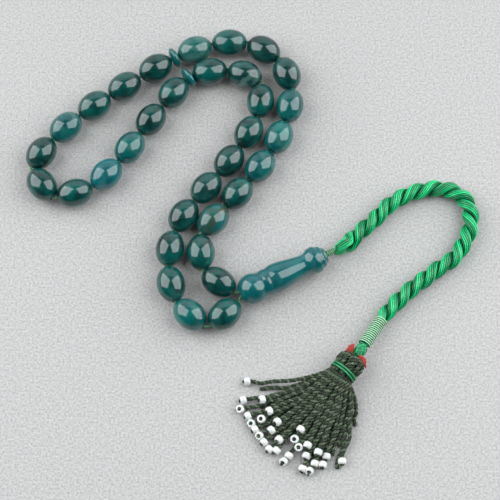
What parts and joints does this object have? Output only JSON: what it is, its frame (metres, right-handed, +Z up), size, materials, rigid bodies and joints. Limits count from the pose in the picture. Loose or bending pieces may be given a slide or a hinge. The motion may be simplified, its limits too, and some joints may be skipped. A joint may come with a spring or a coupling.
{
  "type": "misbaha prayer beads",
  "caption": "String of oval green stone prayer beads with disc separators, a long turned leader bead and a twisted silk cord that ends in a yarn tassel with small white glass beads.",
  "frame": {"origin": "on the surface the string lies on, under the middle of the box round everything but the threads and the tassel cord", "axes": "+Z up from the surface; the string is laid out mostly along Y, with the far bend at +Y, the tassel's fringe at -Y, the left loop at -X and the tassel cord at +X"},
  "size_m": [0.1482, 0.15, 0.01],
  "materials": {
    "stone": "polished banded agate, opaque to look at",
    "imam_stone": "polished agate, a little lighter",
    "thread": "twisted thread",
    "green_silk": "silk yarn",
    "whipping": "wound silk yarn",
    "red_yarn": "fluffy yarn",
    "dark_yarn": "plied wool-like yarn",
    "seed_glass": "opaque white glass"
  },
  "bodies": {
    "string": {"thread_outer": "thread", "thread_inner": "thread", "thread_wrap": "thread"},
    "left_loop": {"thread_loop": "thread"},
    "bead_a01": {"bead_a01": "stone"},
    "bead_a02": {"bead_a02": "stone"},
    "bead_a03": {"bead_a03": "stone"},
    "bead_a04": {"bead_a04": "stone"},
    "bead_a05": {"bead_a05": "stone"},
    "bead_a06": {"bead_a06": "stone"},
    "bead_a07": {"bead_a07": "stone"},
    "bead_a08": {"bead_a08": "stone"},
    "bead_a09": {"bead_a09": "stone"},
    "bead_a10": {"bead_a10": "stone"},
    "bead_a11": {"bead_a11": "stone"},
    "bead_b01": {"bead_b01": "stone"},
    "bead_b02": {"bead_b02": "stone"},
    "bead_b03": {"bead_b03": "stone"},
    "bead_b04": {"bead_b04": "stone"},
    "bead_b05": {"bead_b05": "stone"},
    "bead_b06": {"bead_b06": "stone"},
    "bead_b07": {"bead_b07": "stone"},
    "bead_b08": {"bead_b08": "stone"},
    "bead_b09": {"bead_b09": "stone"},
    "bead_b10": {"bead_b10": "stone"},
    "bead_b11": {"bead_b11": "stone"},
    "bead_c01": {"bead_c01": "stone"},
    "bead_c02": {"bead_c02": "stone"},
    "bead_c03": {"bead_c03": "stone"},
    "bead_c04": {"bead_c04": "stone"},
    "bead_c05": {"bead_c05": "stone"},
    "bead_c06": {"bead_c06": "stone"},
    "bead_c07": {"bead_c07": "stone"},
    "bead_c08": {"bead_c08": "stone"},
    "bead_c09": {"bead_c09": "stone"},
    "bead_c10": {"bead_c10": "stone"},
    "bead_c11": {"bead_c11": "stone"},
    "disc_1": {"disc_1": "stone"},
    "disc_2": {"disc_2": "stone"},
    "imam": {"imam": "imam_stone"},
    "cord": {"tassel_cord": "green_silk", "cord_whipping": "whipping", "cord_knot": "green_silk"},
    "tassel": {"tassel_head": "dark_yarn", "neck_tie": "green_silk", "fringe": "dark_yarn", "red_tuft_left": "red_yarn", "red_tuft_right": "red_yarn", "seed_bead_01": "seed_glass", "seed_bead_02": "seed_glass", "seed_bead_03": "seed_glass", "seed_bead_04": "seed_glass", "seed_bead_05": "seed_glass", "seed_bead_06": "seed_glass", "seed_bead_07": "seed_glass", "seed_bead_08": "seed_glass", "seed_bead_09": "seed_glass", "seed_bead_10": "seed_glass", "seed_bead_11": "seed_glass"}
  },
  "joints": [
    {"name": "loop_lift", "type": "hinge", "parent": "string", "child": "left_loop", "pos_m": [-0.01719, 0.05234, 0.0046], "axis": [-0.5797, 0.8148, 0], "range_deg": [0, 25]},
    {"name": "imam_turn", "type": "hinge", "parent": "string", "child": "imam", "pos_m": [0.02626, -0.01232, 0.005], "axis": [0.8988, 0.4384, 0], "range_deg": [-90, 90]},
    {"name": "cord_swing", "type": "hinge", "parent": "string", "child": "cord", "pos_m": [0.04325, -0.00403, 0.005], "axis": [0, 0, 1], "range_deg": [-5, 30]},
    {"name": "tassel_swing", "type": "hinge", "parent": "cord", "child": "tassel", "pos_m": [0.05055, -0.03693, 0.0044], "axis": [0, 0, 1], "range_deg": [-10, 30]},
    {"name": "bead_a01_spin", "type": "hinge", "parent": "string", "child": "bead_a01", "pos_m": [-0.00271, 0.06778, 0.0046], "axis": [-0.9279, -0.3727, 0], "continuous": true},
    {"name": "bead_a02_spin", "type": "hinge", "parent": "string", "child": "bead_a02", "pos_m": [0.00902, 0.07046, 0.0046], "axis": [-0.998, -0.0625, 0], "continuous": true},
    {"name": "bead_a03_spin", "type": "hinge", "parent": "string", "child": "bead_a03", "pos_m": [0.02063, 0.06785, 0.0046], "axis": [-0.874, 0.4858, 0], "continuous": true},
    {"name": "bead_a04_spin", "type": "hinge", "parent": "string", "child": "bead_a04", "pos_m": [0.02836, 0.05895, 0.0046], "axis": [-0.3556, 0.9346, 0], "continuous": true},
    {"name": "bead_a05_spin", "type": "hinge", "parent": "string", "child": "bead_a05", "pos_m": [0.0293, 0.04709, 0.0046], "axis": [0.1984, 0.9801, 0], "continuous": true},
    {"name": "bead_a06_spin", "type": "hinge", "parent": "string", "child": "bead_a06", "pos_m": [0.02553, 0.03564, 0.0046], "axis": [0.4186, 0.9082, 0], "continuous": true},
    {"name": "bead_a07_spin", "type": "hinge", "parent": "string", "child": "bead_a07", "pos_m": [0.01935, 0.02526, 0.0046], "axis": [0.6009, 0.7993, 0], "continuous": true},
    {"name": "bead_a08_spin", "type": "hinge", "parent": "string", "child": "bead_a08", "pos_m": [0.01191, 0.01572, 0.0046], "axis": [0.625, 0.7806, 0], "continuous": true},
    {"name": "bead_a09_spin", "type": "hinge", "parent": "string", "child": "bead_a09", "pos_m": [0.00407, 0.00651, 0.0046], "axis": [0.6721, 0.7405, 0], "continuous": true},
    {"name": "bead_a10_spin", "type": "hinge", "parent": "string", "child": "bead_a10", "pos_m": [0.00019, -0.00457, 0.0046], "axis": [-0.0697, 0.9976, 0], "continuous": true},
    {"name": "bead_a11_spin", "type": "hinge", "parent": "string", "child": "bead_a11", "pos_m": [0.00601, -0.01458, 0.0046], "axis": [-0.8274, 0.5615, 0], "continuous": true},
    {"name": "bead_b01_spin", "type": "hinge", "parent": "string", "child": "bead_b01", "pos_m": [-0.01581, 0.06097, 0.0046], "axis": [-0.8462, -0.5329, 0], "continuous": true},
    {"name": "bead_b02_spin", "type": "hinge", "parent": "left_loop", "child": "bead_b02", "pos_m": [-0.02604, 0.0542, 0.0046], "axis": [-0.8215, -0.5703, 0], "continuous": true},
    {"name": "bead_b03_spin", "type": "hinge", "parent": "left_loop", "child": "bead_b03", "pos_m": [-0.03585, 0.04711, 0.0046], "axis": [-0.7994, -0.6008, 0], "continuous": true},
    {"name": "bead_b04_spin", "type": "hinge", "parent": "left_loop", "child": "bead_b04", "pos_m": [-0.04508, 0.03929, 0.0046], "axis": [-0.7228, -0.6911, 0], "continuous": true},
    {"name": "bead_b05_spin", "type": "hinge", "parent": "left_loop", "child": "bead_b05", "pos_m": [-0.05274, 0.02999, 0.0046], "axis": [-0.5391, -0.8423, 0], "continuous": true},
    {"name": "bead_b06_spin", "type": "hinge", "parent": "left_loop", "child": "bead_b06", "pos_m": [-0.05199, 0.01886, 0.0046], "axis": [0.6197, -0.7849, 0], "continuous": true},
    {"name": "bead_b07_spin", "type": "hinge", "parent": "left_loop", "child": "bead_b07", "pos_m": [-0.04117, 0.01591, 0.0046], "axis": [0.9429, 0.3331, 0], "continuous": true},
    {"name": "bead_b08_spin", "type": "hinge", "parent": "left_loop", "child": "bead_b08", "pos_m": [-0.03114, 0.02243, 0.0046], "axis": [0.6894, 0.7244, 0], "continuous": true},
    {"name": "bead_b09_spin", "type": "hinge", "parent": "left_loop", "child": "bead_b09", "pos_m": [-0.02368, 0.03193, 0.0046], "axis": [0.5428, 0.8399, 0], "continuous": true},
    {"name": "bead_b10_spin", "type": "hinge", "parent": "left_loop", "child": "bead_b10", "pos_m": [-0.01692, 0.04197, 0.0046], "axis": [0.5762, 0.8173, 0], "continuous": true},
    {"name": "bead_b11_spin", "type": "hinge", "parent": "string", "child": "bead_b11", "pos_m": [-0.00956, 0.05178, 0.0046], "axis": [0.6237, 0.7816, 0], "continuous": true},
    {"name": "bead_c01_spin", "type": "hinge", "parent": "string", "child": "bead_c01", "pos_m": [0.00244, 0.05954, 0.0046], "axis": [0.9801, 0.1986, 0], "continuous": true},
    {"name": "bead_c02_spin", "type": "hinge", "parent": "string", "child": "bead_c02", "pos_m": [0.01427, 0.05854, 0.0046], "axis": [0.9311, -0.3649, 0], "continuous": true},
    {"name": "bead_c03_spin", "type": "hinge", "parent": "string", "child": "bead_c03", "pos_m": [0.01953, 0.0488, 0.0046], "axis": [-0.1716, -0.9852, 0], "continuous": true},
    {"name": "bead_c04_spin", "type": "hinge", "parent": "string", "child": "bead_c04", "pos_m": [0.01557, 0.03744, 0.0046], "axis": [-0.4758, -0.8795, 0], "continuous": true},
    {"name": "bead_c05_spin", "type": "hinge", "parent": "string", "child": "bead_c05", "pos_m": [0.00913, 0.0272, 0.0046], "axis": [-0.5858, -0.8105, 0], "continuous": true},
    {"name": "bead_c06_spin", "type": "hinge", "parent": "string", "child": "bead_c06", "pos_m": [0.00164, 0.0177, 0.0046], "axis": [-0.6518, -0.7584, 0], "continuous": true},
    {"name": "bead_c07_spin", "type": "hinge", "parent": "string", "child": "bead_c07", "pos_m": [-0.00555, 0.008, 0.0046], "axis": [-0.5295, -0.8483, 0], "continuous": true},
    {"name": "bead_c08_spin", "type": "hinge", "parent": "string", "child": "bead_c08", "pos_m": [-0.00975, -0.00325, 0.0046], "axis": [-0.1585, -0.9874, 0], "continuous": true},
    {"name": "bead_c09_spin", "type": "hinge", "parent": "string", "child": "bead_c09", "pos_m": [-0.00919, -0.01522, 0.0046], "axis": [0.2523, -0.9676, 0], "continuous": true},
    {"name": "bead_c10_spin", "type": "hinge", "parent": "string", "child": "bead_c10", "pos_m": [-0.00301, -0.02537, 0.0046], "axis": [0.7397, -0.6729, 0], "continuous": true},
    {"name": "bead_c11_spin", "type": "hinge", "parent": "string", "child": "bead_c11", "pos_m": [0.00797, -0.02532, 0.0046], "axis": [0.7535, 0.6575, 0], "continuous": true},
    {"name": "disc_1_spin", "type": "hinge", "parent": "string", "child": "disc_1", "pos_m": [-0.00951, 0.06485, 0.0046], "axis": [-0.8728, -0.4881, 0], "continuous": true},
    {"name": "disc_2_spin", "type": "hinge", "parent": "string", "child": "disc_2", "pos_m": [-0.00469, 0.05737, 0.0046], "axis": [0.7869, 0.6171, 0], "continuous": true}
  ]
}
